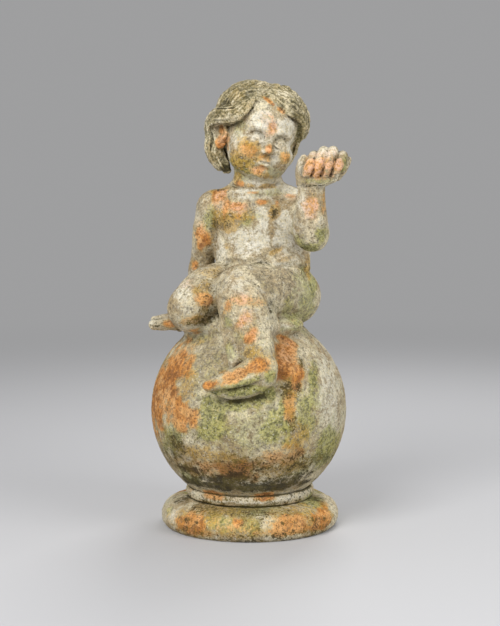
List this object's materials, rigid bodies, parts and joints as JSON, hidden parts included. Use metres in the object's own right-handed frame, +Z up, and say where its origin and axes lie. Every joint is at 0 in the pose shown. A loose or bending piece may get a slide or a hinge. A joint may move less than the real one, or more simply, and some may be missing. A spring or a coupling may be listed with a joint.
{
  "type": "garden statue of a seated cherub",
  "caption": "Weathered terracotta garden statue: a chubby cherub sits cross-legged on a large ball that stands on a round moulded socle, with one hand raised in a loose fist.",
  "frame": {"origin": "middle of the socle's flat underside, which stands on the ground", "axes": "+Z up through the ball and the figure, -Y the way the cherub faces, +X the cherub's left"},
  "size_m": [0.2955, 0.3137, 0.6578],
  "materials": {
    "casting": "fired terracotta, unglazed, under a chalky grey bloom with green algae and black lichen specks",
    "socle": "fired terracotta, unglazed, worn bare in patches, with dirt in the joint and lichen specks"
  },
  "bodies": {
    "root": {"cherub_on_ball": "casting", "round_socle": "socle"}
  },
  "joints": []
}
